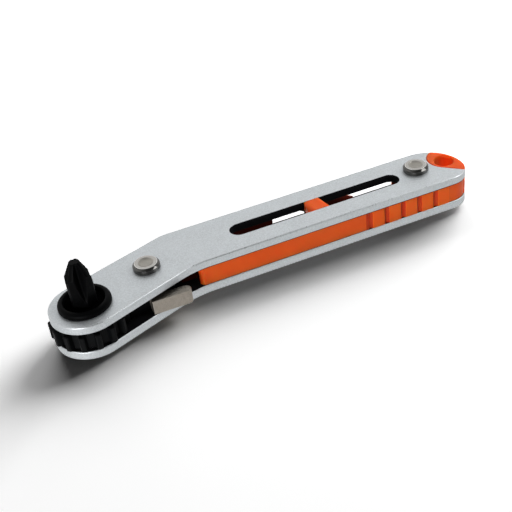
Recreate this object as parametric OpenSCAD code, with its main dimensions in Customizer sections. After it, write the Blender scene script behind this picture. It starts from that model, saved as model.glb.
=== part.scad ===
// Offset ratchet bit driver. Two flat plates close over a moulded core, a toothed drive wheel
// turns in the round head, a rocking pawl sets its direction and a hexagonal bit stands in it.
// Lengths are millimetres and angles are degrees. The origin is on the drive axis, on the plane
// that the tool lies on. +X runs down the handle and +Z points up along the bit.

/* [Plates] */
// Thickness of each plate
plate_t = 2.5; // [2:0.1:3.2]
// Space between the two plates
gap_h = 5.3; // [5:0.1:6.4]
// Radius of the round head
head_r = 9.5; // [9.2:0.1:10]
// Width of the handle
handle_w = 18; // [17.4:0.1:20]
// Angle between head and handle
bend_angle = 20; // [16:1:24]
// Drive axis to the bend, along the head
neck_reach = 29.7; // [29:0.1:32]
// Bend to the end of the tail, along the handle
handle_len = 86.7; // [86:0.1:100]
// Radius of the tail, which runs into the far edge of the handle
tail_r = 10.9; // [10.4:0.1:12]
// Radius of the tail corner on the near edge
tail_corner_r = 6.3; // [4:0.1:7]
// Radius of the inside of the bend
neck_fillet_r = 25; // [15:1:40]

/* [Slot and bridge] */
// Width of the long slot in each plate
slot_w = 5.6; // [5:0.1:6]
// Length of the slot from end to end
slot_len = 51.9; // [50:0.1:52.5]
// Bend to the front end of the slot
slot_start = 15.4; // [15:0.1:16.5]
// Bend to the middle of the bridge across the slot
bridge_at = 41; // [40:0.1:42]
// Length of the bridge at the near side of the bays
bridge_w = 6.7; // [5:0.1:7]
// Length of the bridge at the far side of the bays
bridge_tip_w = 4; // [3:0.1:4.5]
// Radius along the front of the bridge
bridge_round = 2.4; // [1:0.1:2.6]
// How far the post in the far wall starts before the middle of the bridge
post_lead = 0.3; // [0.2:0.1:0.8]
// Length of the post at its top
post_len = 5.8; // [4.5:0.1:8]
// How much longer the post is at its foot
post_foot = 10.2; // [8:0.1:12]
// How far the front of the post leans back towards the far side
post_lean = 2.1; // [1:0.1:2.6]
// Height of the foot of the post
post_foot_h = 0.6; // [0.4:0.1:1.5]
// Length of the brace under the roof in front of the post
brace_len = 3.8; // [2:0.1:4.2]
// Height of that brace
brace_h = 2.3; // [1.5:0.1:3]

/* [Tail tab] */
// Radius of the notch in each plate at the tail
notch_r = 5.6; // [5.2:0.1:6]
// Direction of the notch
notch_angle = -44; // [-50:1:-40]
// End of the tail to the middle of the notch
notch_from_tail = 2.4; // [2:0.1:3]
// Far edge of the handle to the middle of the notch
notch_from_far = 7; // [6.5:0.1:7.5]
// Radius of the hanging hole
hang_r = 2.8; // [2.2:0.1:2.9]
// End of the tail to the middle of the hanging hole
hang_from_tail = 3.9; // [3.8:0.1:4.5]
// Far edge of the handle to the middle of the hanging hole
hang_from_far = 8.3; // [7.9:0.1:8.5]
// Radius round the rim of the hanging hole
hang_rim = 0.5; // [0.3:0.05:0.5]

/* [Core] */
// How far the sides of the core lie in from the edges of the plates
core_inset = 0.35; // [0.2:0.05:0.6]
// How far the grip pads lie in from the edges of the plates
pad_inset = 0.1; // [0.05:0.05:0.15]
// Depth of the grip grooves below the sides of the core
groove_depth = 0.3; // [0.2:0.1:1]
// Width of a grip groove at its mouth
groove_w = 1.7; // [1.2:0.1:2]
// Width of the floor of a grip groove
groove_floor_w = 0.5; // [0.3:0.1:0.8]
// Pitch of the grip grooves
grip_pitch = 5.2; // [4.6:0.1:5.4]
// Number of grip grooves
grip_count = 5; // [3:1:5]
// Bend to the first grip groove
grip_start = 53.4; // [50:0.1:54]
// Drive axis to the nose of the core, along the head
core_front = 27; // [26.8:0.1:28]
// Radius of the nose of the core
core_nose_r = 30; // [24:1:40]
// Bend to the end of the recess behind the near thumb ear
recess_end = 3; // [2.6:0.1:3.6]
// Depth of that recess from the side of the core
recess_depth = 4.2; // [3.6:0.1:4.6]
// Radius round the edge of that recess
recess_round = 2.2; // [1.6:0.1:2.6]
// Width of a bit bay
bay_w = 7.3; // [7:0.1:8]
// Length of a bit bay
bay_len = 25.4; // [25.2:0.1:25.8]
// Bend to the end of the closed far wall
far_wall_end = 29.3; // [28:0.1:34]

/* [Drive] */
// Radius over the teeth of the wheel
wheel_r = 10.2; // [9.8:0.1:10.4]
// Number of teeth
teeth = 15; // [12:1:18]
// Height of a tooth
tooth_h = 1.6; // [1.2:0.1:2]
// Width of a tooth at its tip
tooth_tip_w = 1.25; // [1:0.05:1.5]
// Width of a tooth at its root
tooth_root_w = 1.9; // [1.6:0.1:2.2]
// Angle of the first tooth
tooth_phase = 6; // [0:1:23]
// Radius of the hub, which is the bearing journal
hub_r = 5.2; // [5.1:0.05:5.6]
// How far the hub stands out of each plate
hub_proud = 0.9; // [0.6:0.1:1.2]
// Wall of the bearing bush in each plate
bush_wall = 0.9; // [0.6:0.1:1.2]
// Radius of the thrust washers
washer_r = 8; // [7:0.1:8.2]
// Thickness of the thrust washers
washer_t = 0.3; // [0.2:0.05:0.5]
// Outer radius of the collars
collar_r = 6.9; // [6.8:0.05:7.4]
// How far each collar stands out of its plate
collar_h = 1.7; // [1.5:0.1:2.2]
// Radius round the outer edge of a collar
collar_round = 1; // [0.6:0.1:1.1]
// Radius inside the lip of a collar
collar_lip_r = 5.5; // [5.45:0.05:5.7]
// Radius of the wire in the bit clip
clip_wire_r = 0.4; // [0.3:0.05:0.45]
// Angle that the bit clip goes round
clip_sweep = 310; // [270:5:330]

/* [Bit] */
// Hexagon across flats
hex_af = 6.35; // [6.3:0.05:6.4]
// Angle of the first corner of the hexagon
hex_phase = 30; // [0:5:55]
// Length of the bit
bit_len = 25; // [24:0.5:27]
// Radius over the eased corners of the hexagon
bit_corner_r = 3.52; // [3.4:0.02:3.6]
// Chamfer at the foot of the bit
bit_chamfer = 0.5; // [0.3:0.1:0.8]
// Half angle of the point
point_angle = 26.5; // [24:0.5:30]
// Radius of the flat on the point
point_r = 1.3; // [1.1:0.05:1.45]
// Web left between opposite flutes at the point, from the axis
flute_web = 1; // [0.85:0.05:1.05]
// Width of the flat at the root of a flute
flute_root_w = 0.3; // [0.2:0.05:0.5]
// Radius of the sweep that a flute runs out on
flute_sweep_r = 24; // [22:1:30]
// Angle of the first flute
flute_phase = -90; // [-135:5:-45]
// Depth of the notch that the bit clip snaps into
clip_notch = 0.25; // [0.15:0.05:0.3]

/* [Pawl] */
// Drive axis to the pawl pivot, along the head
pivot_reach = 19.6; // [19.4:0.1:20]
// Thickness of the pawl
pawl_t = 4.2; // [3.8:0.1:4.4]
// Radius of the pawl round its pivot
pawl_hub_r = 4.6; // [4.4:0.1:4.8]
// Angle between the two settings of the pawl
pawl_throw = 16; // [12:1:18]
// Place of the engaged pawl tip, round the wheel from the head axis
tip_angle = 32; // [28:1:36]
// Gap between the pawl tip and the tooth tips
tip_gap = 0.2; // [0.15:0.05:0.4]
// Pivot to the front corner of a thumb ear, along the head
ear_front = 4.57; // [4.2:0.1:5]
// How far the front corner of an ear stands out of the head
ear_proud = 0.2; // [0.1:0.05:0.4]
// Length of a thumb ear
ear_len = 10.85; // [10:0.05:11]
// Flare of a thumb ear
ear_flare = 13.25; // [12:0.25:15]
// Depth of a thumb ear
ear_t = 2.6; // [2.2:0.1:3]
// Radius of the detent dents
dent_r = 1.6; // [1.4:0.1:1.8]
// Depth of the detent dents
dent_depth = 0.5; // [0.3:0.1:0.6]
// Wall of the sleeve that the pawl turns on
sleeve_wall = 0.8; // [0.6:0.1:1]
// Width of the washer that holds the pawl down
pawl_washer_w = 1.5; // [1.2:0.1:1.8]

/* [Detent] */
// Radius of the detent plunger
plunger_r = 1.5; // [1.3:0.1:1.7]
// Length of the plunger from its tip to its shoulder
plunger_len = 6.65; // [6.2:0.05:7]
// Length of the plunger's spigot in the spring
spigot_len = 1.6; // [1.2:0.1:2]
// Radius of the plunger's spigot
spigot_r = 0.6; // [0.5:0.05:0.65]
// Length of the spring
spring_len = 5; // [4.5:0.1:6]
// Mean radius of the spring
spring_r = 1; // [0.95:0.05:1.1]
// Radius of the spring wire
spring_wire_r = 0.2; // [0.15:0.01:0.22]
// Turns of the spring
spring_turns = 6; // [4:1:6]

/* [Rivets] */
// Radius of the rivet heads
rivet_head_r = 3.65; // [3.3:0.05:3.8]
// Radius of the rivet shanks
rivet_r = 1.75; // [1.5:0.05:1.8]
// Bevel round a rivet head
rivet_bevel = 0.65; // [0.3:0.05:0.8]
// Width of the rim round the dish of a rivet head
rivet_rim = 0.9; // [0.4:0.05:1]
// Depth of the dish in a rivet head
rivet_dish = 0.45; // [0.3:0.05:0.6]
// End of the tail to the rear rivet
rear_rivet_from_tail = 13.2; // [13:0.1:14]
// Far edge of the handle to the rear rivet
rear_rivet_from_far = 8.2; // [7.9:0.1:9]
// Wall of the sleeve in the core at the rear rivet
core_sleeve_wall = 1.2; // [0.8:0.1:1.3]

/* [Fits] */
// Radial play of a turning or sliding fit
run_play = 0.05; // [0.02:0.01:0.08]
// Play between faces that pass each other
side_play = 0.1; // [0.05:0.01:0.2]
// Play of the core in the slot and in the notch of the plates
seat_play = 0.1; // [0.05:0.01:0.2]
// Play of a bit in its hexagonal socket, on each flat
hex_play = 0.05; // [0.03:0.01:0.1]

/* [Hidden] */

$fn = 96;
arc_steps = 16;
wire_sides = 6;
wire_rings = 8;
// Overrun of every cut past the face that it opens
over = 1;
// Straight sides lie this share of the handle inside the arcs that they run into, so that the two cross
ease_share = 0.0002;
ease = handle_w * ease_share;
// Share of the root radius at which the teeth start, so that they grow out of the disc
tooth_bury_share = 0.95;
// Share of the pawl's radius at which the webs of its arms start
web_share = 0.85;
// Share of its radius by which the round of the recess runs past the two faces that it joins
round_over_share = 0.1;
// Share of a slope of the post or its brace by which the section runs past it at both ends
slope_over_share = 0.5;
// Shares of a rivet dish: radius of its floor, and depth of its middle
dish_floor_share = 0.75;
dish_edge_share = 0.85;

// Heights of the stack, from the plane that the tool lies on
low_z = collar_h;
deck_z = low_z + plate_t;
roof_z = deck_z + gap_h;
top_z = roof_z + plate_t;
body_h = top_z - low_z;

// Plan of the plates
neck = neck_reach * [cos(bend_angle), sin(bend_angle)];
mid_y = neck[1];
near_y = mid_y - handle_w / 2;
far_y = mid_y + handle_w / 2;
tail_x = neck[0] + handle_len;
tail_c = [tail_x - tail_r, far_y - tail_r];
corner_y = near_y + tail_corner_r;
corner_dx = sqrt(pow(tail_r - tail_corner_r, 2) - pow(corner_y - tail_c[1], 2));
corner_c = [tail_c[0] + corner_dx, corner_y];
slot_x = neck[0] + slot_start;
notch_c = [tail_x - notch_from_tail, far_y - notch_from_far];
hang_c = [tail_x - hang_from_tail, far_y - hang_from_far];

// Rivets, pawl and detent
front_rivet_c = pivot_reach * [cos(bend_angle), sin(bend_angle)];
rear_rivet_c = [tail_x - rear_rivet_from_tail, far_y - rear_rivet_from_far];
sleeve_in_r = rivet_r + run_play;
sleeve_r = sleeve_in_r + sleeve_wall;
core_sleeve_r = sleeve_in_r + core_sleeve_wall;
pawl_z = deck_z + side_play;
pawl_washer_t = roof_z - pawl_z - pawl_t - side_play;
plunger_tip = pivot_reach + pawl_hub_r + tip_gap;
plunger_z = pawl_z + pawl_t / 2;
plunger_bore_r = plunger_r + run_play;
spring_start = plunger_tip + plunger_len;
spring_end = spring_start + spring_len;

// Drive
root_r = wheel_r - tooth_h;
disc_z = deck_z + washer_t + run_play;
disc_h = gap_h - 2 * (washer_t + run_play);
mid_z = deck_z + gap_h / 2;
bush_in_r = hub_r + run_play;
bush_r = hub_r + bush_wall;
hex_corner = 1 / cos(30);
clip_r = bit_corner_r + run_play + clip_wire_r;
clip_groove_r = clip_r + clip_wire_r + run_play;
clip_groove_h = 2 * (clip_wire_r + side_play);
bit_z = side_play;
point_h = (bit_corner_r - point_r) / tan(point_angle);

// Bays of the core
bay_low = mid_y - bay_w / 2;
bay_high = bay_low + bay_w;
bridge_x = neck[0] + bridge_at;
front_bay_x = bridge_x - bridge_w / 2 - bay_len;
rear_bay_x = bridge_x + bridge_w / 2;
window_x = neck[0] + far_wall_end;
grip_x = neck[0] + grip_start;

function polar(r, a) = r * [cos(a), sin(a)];

function turned(p, a) = [p[0] * cos(a) - p[1] * sin(a), p[0] * sin(a) + p[1] * cos(a)];

function arc(c, r, a0, a1) = [for (i = [0 : arc_steps]) c + polar(r, a0 + (a1 - a0) * i / arc_steps)];

// Two discs with the straight sides that touch both
module tangent_bar(p, rp, q, rq, h) {
    along = atan2(q[1] - p[1], q[0] - p[0]);
    side = acos((rp - rq) / norm(q - p));
    translate(p) cylinder(r = rp, h = h);
    translate(q) cylinder(r = rq, h = h);
    linear_extrude(h) polygon([
        p + polar(rp - ease, along + side), q + polar(rq - ease, along + side),
        q + polar(rq - ease, along - side), p + polar(rp - ease, along - side)
    ]);
}

// The inside of the bend on the near edge, rounded
module neck_fillet(inset, h) {
    rp = head_r - inset;
    rq = handle_w / 2 - inset;
    slope = bend_angle - acos((rp - rq) / neck_reach) + 90;
    start = polar(rp, slope - 90);
    corner = start + polar((near_y + inset - start[1]) / sin(slope), slope);
    centre = corner + [neck_fillet_r * tan(slope / 2), 3 * ease - neck_fillet_r];
    difference() {
        linear_extrude(h) polygon([
            centre, centre + polar(neck_fillet_r, 90), corner + [0, handle_w / 4],
            centre + polar(neck_fillet_r, 90 + slope)
        ]);
        translate([centre[0], centre[1], -over]) cylinder(r = neck_fillet_r, h = h + 2 * over);
    }
}

// The handle, and its tail: an arc that runs into the far edge, and a smaller round on the near edge
module handle_block(inset, h) {
    far = 2 * tail_r;
    to_corner = (corner_c - tail_c) / norm(corner_c - tail_c);
    back = tail_c - tail_r / 2 * to_corner;
    low = near_y + inset + ease;
    high = far_y - inset - ease;
    intersection() {
        translate(tail_c) cylinder(r = tail_r - inset, h = h);
        linear_extrude(h) polygon([back, tail_c + far * to_corner, tail_c + [far, far], back + [0, far]]);
    }
    translate(corner_c) cylinder(r = tail_corner_r - inset + ease, h = h);
    linear_extrude(h) polygon([
        [neck[0], low], [corner_c[0], low], corner_c, [tail_c[0], high], [neck[0], high]
    ]);
}

// The whole plan of the tool, drawn in from its edges and as thick as h
module body_block(inset, h) {
    tangent_bar([0, 0], head_r - inset, neck, handle_w / 2 - inset, h);
    neck_fillet(inset, h);
    handle_block(inset, h);
}

module slot_block(play, h) {
    r = slot_w / 2 - play;
    front = slot_x + slot_w / 2;
    rear = slot_x + slot_len - slot_w / 2;
    translate([front, mid_y, 0]) cylinder(r = r, h = h);
    translate([rear, mid_y, 0]) cylinder(r = r, h = h);
    translate([front, mid_y - r + ease, 0]) cube([rear - front, 2 * (r - ease), h]);
}

module notch_block(play, h) {
    r = notch_r - play;
    sides = [[0, ease - r], [2 * notch_r, ease - r], [2 * notch_r, r - ease], [0, r - ease]];
    translate(notch_c) {
        cylinder(r = r, h = h);
        linear_extrude(h) polygon([for (p = sides) turned(p, notch_angle)]);
    }
}

module plate(z) {
    through = plate_t + 2 * over;
    translate([0, 0, z]) difference() {
        body_block(0, plate_t);
        translate([0, 0, -over]) {
            slot_block(0, through);
            notch_block(0, through);
            cylinder(r = bush_r, h = through);
            translate(front_rivet_c) cylinder(r = rivet_r + run_play, h = through);
            translate(rear_rivet_c) cylinder(r = rivet_r + run_play, h = through);
        }
    }
}

module top_plate() {
    color("silver") plate(roof_z);
}

module bottom_plate() {
    color("silver") plate(low_z);
}

// Everything in front of the rounded nose of the core
module nose_cut(h) {
    rotate(bend_angle) difference() {
        translate([-2 * head_r, -handle_w, 0]) cube([core_front + core_nose_r + 2 * head_r, 2 * handle_w, h]);
        translate([core_front + core_nose_r, 0, -over]) cylinder(r = core_nose_r, h = h + 2 * over);
    }
}

// A recess in the near corner of the nose, with a rounded edge
module nose_recess(h) {
    side_y = near_y + core_inset;
    end_x = neck[0] + recess_end;
    set_in = recess_round * (1 - round_over_share);
    centre = [end_x + set_in, side_y + set_in];
    translate([0, -handle_w, 0]) {
        cube([end_x, handle_w + side_y + recess_depth, h]);
        difference() {
            cube([centre[0], handle_w + centre[1], h]);
            translate([centre[0], handle_w + centre[1], -over]) cylinder(r = recess_round, h = h + 2 * over);
        }
    }
}

// A raised bar on the near side, which the grooves divide into pads
module grip_bar() {
    intersection() {
        body_block(pad_inset, gap_h);
        translate([grip_x, near_y, -over])
            cube([grip_count * grip_pitch - groove_w / 2, (bay_low - near_y) / 2, gap_h + 2 * over]);
    }
}

// Grooves with sloping flanks
module grip_grooves(h) {
    mouth = near_y + pad_inset;
    floor_y = near_y + core_inset + groove_depth;
    for (i = [0 : grip_count - 1]) {
        translate([grip_x + i * grip_pitch, 0, 0]) linear_extrude(h) polygon([
            [-groove_w / 2, near_y - over], [groove_w / 2, near_y - over], [groove_w / 2, mouth],
            [groove_floor_w / 2, floor_y], [-groove_floor_w / 2, floor_y], [-groove_w / 2, mouth]
        ]);
    }
}

// Two bays for bits on either side of the bridge, and the window that opens them on the far side
module bay_cuts(h) {
    end = rear_bay_x + bay_len;
    linear_extrude(h) polygon([
        [front_bay_x, bay_low], [end, bay_low], [end, far_y + over], [window_x, far_y + over],
        [window_x, bay_high], [front_bay_x, bay_high]
    ]);
}

// The bridge from above, with a root in the post
module bridge_plan() {
    near = bay_low - over;
    root = bay_high + over;
    tip = bridge_x + bridge_tip_w / 2;
    polygon([
        [bridge_x - bridge_w / 2, near], [bridge_x + bridge_w / 2, near], [tip, bay_high], [tip, root],
        [bridge_x, root], [bridge_x, bay_high], [bridge_x - bridge_tip_w / 2, bay_high]
    ]);
}

// The bridge from the side, rounded along its front, and as wide as the handle
module bridge_side() {
    turn = bridge_x - bridge_w / 2 + bridge_round;
    back = bridge_x + bridge_w;
    translate([0, far_y, 0]) rotate([90, 0, 0]) linear_extrude(handle_w) polygon(concat(
        [[back, low_z]], arc([turn, low_z + bridge_round], bridge_round, 270, 180),
        arc([turn, top_z - bridge_round], bridge_round, 180, 90), [[back, top_z]]
    ));
}

module bridge() {
    intersection() {
        union() {
            translate([0, 0, deck_z]) linear_extrude(gap_h) bridge_plan();
            intersection() {
                translate([0, 0, low_z]) linear_extrude(body_h) bridge_plan();
                translate([0, 0, low_z]) slot_block(seat_play, body_h);
            }
        }
        bridge_side();
    }
}

// The post that stands in the far wall behind the bridge, with a sloping shoulder
module far_post() {
    start = bridge_x - post_lead;
    end = start + post_len;
    foot = end + post_foot;
    face_y = far_y - core_inset - ease;
    slope = [-post_foot, gap_h - post_foot_h];
    foot_over = [foot, deck_z + post_foot_h] - slope_over_share * slope;
    head_over = [end, roof_z] + slope_over_share * slope;
    intersection() {
        translate([0, 0, deck_z]) linear_extrude(gap_h) polygon([
            [start, bay_high], [foot, bay_high], [foot, face_y], [start + post_lean, face_y]
        ]);
        translate([0, far_y, 0]) rotate([90, 0, 0]) linear_extrude(handle_w) polygon([
            [start - over, low_z], [foot_over[0], low_z], foot_over, head_over, [start - over, head_over[1]]
        ]);
    }
}

// A sloping brace under the roof in front of the post
module post_brace() {
    end = bridge_x - post_lead;
    face_y = far_y - core_inset - ease;
    slope = [brace_len, -brace_h];
    low_over = [end, roof_z - brace_h] + slope_over_share * slope;
    high_over = [end - brace_len, roof_z] - slope_over_share * slope;
    back = low_over[0] + post_lean;
    intersection() {
        translate([0, 0, deck_z]) linear_extrude(gap_h) polygon([
            [end - brace_len, bay_high], [end + post_lead, bay_high], [end + post_lead + post_lean, face_y],
            [end - brace_len + post_lean, face_y]
        ]);
        translate([0, far_y, 0]) rotate([90, 0, 0]) linear_extrude(handle_w) polygon([
            low_over, [back, low_over[1]], [back, high_over[1]], high_over
        ]);
    }
}

// The hanging hole, rounded at both rims
module hang_hole() {
    rim_r = hang_r + hang_rim;
    translate([hang_c[0], hang_c[1], low_z]) {
        translate([0, 0, -over]) cylinder(r = hang_r, h = body_h + 2 * over);
        rotate_extrude() polygon(concat(
            [[0, -over], [rim_r, -over]], arc([rim_r, hang_rim], hang_rim, 270, 180), [[0, hang_rim]]
        ));
        rotate_extrude() polygon(concat(
            [[0, body_h - hang_rim]], arc([rim_r, body_h - hang_rim], hang_rim, 180, 90),
            [[rim_r, body_h + over], [0, body_h + over]]
        ));
    }
}

module handle_core() {
    through = gap_h + 2 * over;
    color("orangered") difference() {
        union() {
            translate([0, 0, deck_z]) difference() {
                union() {
                    body_block(core_inset, gap_h);
                    grip_bar();
                }
                translate([0, 0, -over]) {
                    nose_cut(through);
                    nose_recess(through);
                    grip_grooves(through);
                    bay_cuts(through);
                }
            }
            bridge();
            far_post();
            post_brace();
            translate([0, 0, low_z]) intersection() {
                body_block(pad_inset, body_h);
                notch_block(seat_play, body_h);
            }
        }
        hang_hole();
        translate([rear_rivet_c[0], rear_rivet_c[1], deck_z - over]) cylinder(r = core_sleeve_r, h = through);
        on_detent_axis(0) cylinder(r = plunger_bore_r, h = spring_end);
    }
}

module tube(c, z, h, r_in, r_out) {
    translate([c[0], c[1], z]) difference() {
        cylinder(r = r_out, h = h);
        translate([0, 0, -over]) cylinder(r = r_in, h = h + 2 * over);
    }
}

module core_sleeve() {
    color("gainsboro") tube(rear_rivet_c, deck_z, gap_h, sleeve_in_r, core_sleeve_r);
}

module pawl_sleeve() {
    color("gainsboro") tube(front_rivet_c, deck_z, gap_h, sleeve_in_r, sleeve_r);
}

module pawl_washer() {
    in_r = sleeve_r + run_play;
    color("gainsboro") tube(front_rivet_c, roof_z - pawl_washer_t, pawl_washer_t, in_r, in_r + pawl_washer_w);
}

// A rivet with a bevelled, dished head on the outside of each plate
module rivet(c) {
    rim_out = rivet_head_r - rivet_bevel;
    rim_in = rim_out - rivet_rim;
    half = body_h / 2 + collar_h;
    translate([c[0], c[1], low_z + body_h / 2]) {
        for (flip = [0, 1]) {
            mirror([0, 0, flip]) rotate_extrude() polygon([
                [0, -over], [rivet_r, -over], [rivet_r, body_h / 2], [rivet_head_r, body_h / 2],
                [rivet_head_r, half - rivet_bevel], [rim_out, half], [rim_in, half],
                [rim_in * dish_floor_share, half - rivet_dish * dish_edge_share], [0, half - rivet_dish]
            ]);
        }
    }
}

module front_rivet() {
    color("lightgray") rivet(front_rivet_c);
}

module rear_rivet() {
    color("lightgray") rivet(rear_rivet_c);
}

module toothed_disc(h) {
    tooth = [
        [root_r * tooth_bury_share, -tooth_root_w / 2], [wheel_r, -tooth_tip_w / 2],
        [wheel_r, tooth_tip_w / 2], [root_r * tooth_bury_share, tooth_root_w / 2]
    ];
    cylinder(r = root_r, h = h);
    for (i = [0 : teeth - 1]) {
        linear_extrude(h) polygon([for (p = tooth) turned(p, tooth_phase + i * 360 / teeth)]);
    }
}

module ratchet_wheel() {
    hub_z = low_z - hub_proud;
    hub_h = body_h + 2 * hub_proud;
    color("dimgray") difference() {
        union() {
            translate([0, 0, disc_z]) toothed_disc(disc_h);
            translate([0, 0, hub_z]) cylinder(r = hub_r, h = hub_h);
        }
        translate([0, 0, hub_z - over]) hex_bar(hex_af / 2 + hex_play, hub_h + 2 * over);
        translate([0, 0, mid_z - clip_groove_h / 2]) cylinder(r = clip_groove_r, h = clip_groove_h);
    }
}

// Half section of a collar standing on its plate, with a rounded outer edge and a sloping mouth
module collar_section() {
    polygon(concat(
        [[hub_r, side_play], [collar_r, side_play]],
        arc([collar_r - collar_round, collar_h - collar_round], collar_round, 0, 90),
        [[collar_lip_r, collar_h], [hub_r, hub_proud]]
    ));
}

module top_collar() {
    color("black") translate([0, 0, top_z]) rotate_extrude() collar_section();
}

module bottom_collar() {
    color("black") translate([0, 0, low_z]) mirror([0, 0, 1]) rotate_extrude() collar_section();
}

module upper_bush() {
    color("peru") tube([0, 0], roof_z, plate_t, bush_in_r, bush_r);
}

module lower_bush() {
    color("peru") tube([0, 0], low_z, plate_t, bush_in_r, bush_r);
}

module upper_washer() {
    color("ivory") tube([0, 0], roof_z - washer_t, washer_t, bush_in_r + run_play, washer_r);
}

module lower_washer() {
    color("ivory") tube([0, 0], deck_z, washer_t, bush_in_r + run_play, washer_r);
}

module bit_clip() {
    color("gray") translate([0, 0, mid_z]) rotate_extrude(angle = clip_sweep)
        translate([clip_r, 0]) circle(clip_wire_r);
}

// A hexagonal bar, sized from the middle of a flat to the axis
module hex_bar(half_af, h) {
    linear_extrude(h) polygon([for (i = [0 : 5]) polar(half_af * hex_corner, hex_phase + i * 60)]);
}

// A disc with a ridged rim, which sweeps out one flute
module flute_disc() {
    depth = 2 * bit_corner_r;
    rotate([90, 0, 0]) rotate_extrude() polygon([
        [flute_sweep_r - depth, -flute_root_w / 2 - depth], [flute_sweep_r, -flute_root_w / 2],
        [flute_sweep_r, flute_root_w / 2], [flute_sweep_r - depth, flute_root_w / 2 + depth]
    ]);
}

module bit_section() {
    notch_z = mid_z - bit_z;
    notch_h = clip_wire_r + side_play;
    polygon([
        [0, 0], [bit_corner_r - bit_chamfer, 0], [bit_corner_r, bit_chamfer],
        [bit_corner_r, notch_z - notch_h], [bit_corner_r - clip_notch, notch_z],
        [bit_corner_r, notch_z + notch_h], [bit_corner_r, bit_len - point_h],
        [point_r, bit_len], [0, bit_len]
    ]);
}

module screwdriver_bit() {
    color("black") translate([0, 0, bit_z]) difference() {
        intersection() {
            hex_bar(hex_af / 2, bit_len);
            rotate_extrude() bit_section();
        }
        for (i = [0 : 3]) {
            rotate(flute_phase + i * 90) translate([flute_web + flute_sweep_r, 0, bit_len]) flute_disc();
        }
    }
}

// One side of the pawl: a horn that points at the wheel and a flared ear for the thumb
module pawl_arm() {
    tip_r = wheel_r + tip_gap;
    tip = turned([tip_r * cos(tip_angle) - pivot_reach, -tip_r * sin(tip_angle)], pawl_throw / 2);
    along = polar(1, -ear_flare);
    inward = polar(1, 90 - ear_flare);
    front = [-ear_front, -head_r - ear_proud];
    rear = front + (ear_len - ear_t / 2) * along;
    polygon([front, rear, rear + ear_t * inward, front + ear_t * inward]);
    translate(rear + ear_t / 2 * inward) circle(ear_t / 2 + ease);
    polygon([
        tip, front + ear_t * inward, front + ear_t / 2 * inward, rear + ear_t / 2 * inward,
        rear + (ear_t - ease) * inward, polar(pawl_hub_r * web_share, -30), [0, 0],
        polar(pawl_hub_r * web_share, -155)
    ]);
}

module pawl_plan() {
    difference() {
        union() {
            circle(pawl_hub_r);
            pawl_arm();
            mirror([0, 1]) pawl_arm();
        }
        circle(sleeve_r + run_play);
        for (a = [-1, 1]) {
            translate(polar(pawl_hub_r + dent_r - dent_depth, a * pawl_throw / 2)) circle(dent_r);
        }
    }
}

module reversing_pawl() {
    color("darkgray") translate([front_rivet_c[0], front_rivet_c[1], pawl_z])
        rotate(bend_angle - pawl_throw / 2) linear_extrude(pawl_t) pawl_plan();
}

// Along the detent's own axis, which runs down the head at the middle of the pawl
module on_detent_axis(reach) {
    translate([0, 0, plunger_z]) rotate(bend_angle) translate([reach, 0, 0]) rotate([0, 90, 0]) children();
}

module detent_plunger() {
    color("gray") on_detent_axis(plunger_tip) rotate_extrude() polygon(concat(
        arc([0, plunger_r], plunger_r, 270, 360),
        [[plunger_r, plunger_len], [spigot_r, plunger_len], [spigot_r, plunger_len + spigot_len],
        [0, plunger_len + spigot_len]]
    ));
}

// Rings of points round the helix of the spring
spring_steps = spring_turns * wire_rings;
spring_rise = spring_len - 2 * spring_wire_r;
spring_tilt = atan(spring_rise / (360 * spring_turns) * 180 / PI / spring_r);
spring_points = [
    for (i = [0 : spring_steps], j = [0 : wire_sides - 1])
        let (
            a = 360 * i / wire_rings,
            b = 360 * j / wire_sides,
            r = spring_r + spring_wire_r * cos(b),
            lean = -spring_wire_r * sin(b) * sin(spring_tilt),
            z = spring_wire_r + spring_rise * i / spring_steps + spring_wire_r * sin(b) * cos(spring_tilt)
        )
        [r * cos(a) - lean * sin(a), r * sin(a) + lean * cos(a), z]
];

// Side triangles of the wire, then a fan over each end
spring_faces = concat(
    [for (i = [0 : spring_steps - 1], j = [0 : wire_sides - 1], half = [0, 1])
        let (
            k = (j + 1) % wire_sides,
            p = i * wire_sides,
            q = p + wire_sides
        )
        half == 0 ? [p + j, q + j, q + k] : [p + j, q + k, p + k]],
    [for (j = [1 : wire_sides - 2]) [0, j, j + 1]],
    [for (j = [1 : wire_sides - 2])
        let (last = spring_steps * wire_sides)
        [last, last + j + 1, last + j]]
);

module detent_spring() {
    color("lightgray") on_detent_axis(spring_start) polyhedron(spring_points, spring_faces);
}

top_plate();
bottom_plate();
handle_core();
core_sleeve();
front_rivet();
rear_rivet();
ratchet_wheel();
top_collar();
bottom_collar();
upper_bush();
lower_bush();
upper_washer();
lower_washer();
bit_clip();
screwdriver_bit();
reversing_pawl();
pawl_sleeve();
pawl_washer();
detent_plunger();
detent_spring();
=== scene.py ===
import math

import bmesh
import bpy
from mathutils import Matrix, Vector
from mathutils.geometry import tessellate_polygon


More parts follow.
